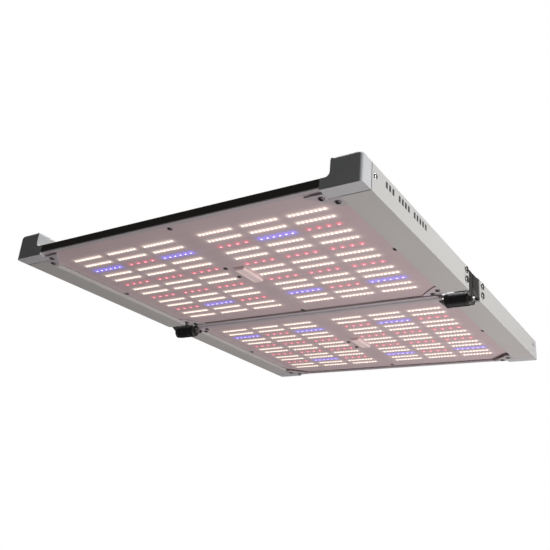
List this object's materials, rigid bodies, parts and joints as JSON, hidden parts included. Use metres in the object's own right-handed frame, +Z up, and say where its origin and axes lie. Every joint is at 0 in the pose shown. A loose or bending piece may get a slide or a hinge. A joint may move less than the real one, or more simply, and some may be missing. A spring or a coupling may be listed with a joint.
{
  "type": "folding led grow light",
  "caption": "Folding panel grow light: LED boards in a shallow aluminium frame, hinged at the seam, with a driver and hanging lugs on top.",
  "frame": {"origin": "middle of the four hanging eyes, level with their centres", "axes": "+Z up along the hanging cords, LEDs facing -Z; +Y from the front panel across the seam to the rear panel; +X to the right along the seam and the hinge axis"},
  "size_m": [0.5642, 0.728, 0.0839],
  "materials": {
    "rail_paint": "light warm grey satin powder coat",
    "cap_plastic": "light grey moulded, fine texture",
    "bar_black": "black anodised",
    "board_white": "white solder mask on a metal-core board",
    "plate_aluminium": "plain rolled sheet",
    "cover_plastic": "pale moulded",
    "leaf_steel": "dark grey coated steel",
    "barrel_black": "black satin",
    "screw_steel": "bright zinc",
    "screw_dark": "blackened",
    "driver_paint": "charcoal powder coat",
    "gland_plastic": "black nylon",
    "circuit_green": "solder mask"
  },
  "bodies": {
    "dimmer_knob": {"dimmer_knob": "gland_plastic"},
    "front_panel": {"driver_circuit_board": "circuit_green", "driver_front_outlet_gland": "gland_plastic", "driver_housing": "driver_paint", "driver_left_channel": "plate_aluminium", "driver_left_cover": "driver_paint", "driver_mains_gland": "gland_plastic", "driver_rear_outlet_gland": "gland_plastic", "driver_right_channel": "plate_aluminium", "driver_right_cover": "driver_paint", "front_back_plate": "plate_aluminium", "front_inlet_gland": "gland_plastic", "front_led_board": "board_white", "front_left_end_cap": "cap_plastic", "front_left_gusset": "board_white", "front_left_hanger": "leaf_steel", "front_left_lower_leaf_screw": "screw_steel", "front_left_rail": "rail_paint", "front_left_upper_leaf_screw": "screw_steel", "front_outer_edge_bar": "bar_black", "front_right_end_cap": "cap_plastic", "front_right_gusset": "board_white", "front_right_hanger": "leaf_steel", "front_right_lower_leaf_screw": "screw_steel", "front_right_rail": "rail_paint", "front_right_upper_leaf_screw": "screw_steel", "front_seam_bar": "rail_paint", "front_wire_cover": "cover_plastic", "left_hinge_barrel": "barrel_black", "left_hinge_bolt": "screw_dark", "left_hinge_collar": "barrel_black", "left_hinge_fixed_leaf": "leaf_steel", "left_hinge_nut": "screw_dark", "right_hinge_barrel": "barrel_black", "right_hinge_bolt": "screw_dark", "right_hinge_collar": "barrel_black", "right_hinge_fixed_leaf": "leaf_steel", "right_hinge_nut": "screw_dark"},
    "rear_panel": {"left_hinge_moving_leaf": "leaf_steel", "rear_back_plate": "plate_aluminium", "rear_inlet_gland": "gland_plastic", "rear_led_board": "board_white", "rear_left_end_cap": "cap_plastic", "rear_left_gusset": "board_white", "rear_left_hanger": "leaf_steel", "rear_left_lower_leaf_screw": "screw_steel", "rear_left_rail": "rail_paint", "rear_left_upper_leaf_screw": "screw_steel", "rear_outer_edge_bar": "bar_black", "rear_right_end_cap": "cap_plastic", "rear_right_gusset": "board_white", "rear_right_hanger": "leaf_steel", "rear_right_lower_leaf_screw": "screw_steel", "rear_right_rail": "rail_paint", "rear_right_upper_leaf_screw": "screw_steel", "rear_seam_bar": "rail_paint", "rear_wire_cover": "cover_plastic", "right_hinge_moving_leaf": "leaf_steel"}
  },
  "joints": [
    {"name": "panel_fold", "type": "hinge", "parent": "front_panel", "child": "rear_panel", "pos_m": [0, 0, -0.053], "axis": [-1, 0, 0], "range_deg": [0, 180]},
    {"name": "dimmer_turn", "type": "hinge", "parent": "front_panel", "child": "dimmer_knob", "pos_m": [0.1223, -0.162, -0.0008], "axis": [1, 0, 0], "range_deg": [0, 270]}
  ]
}
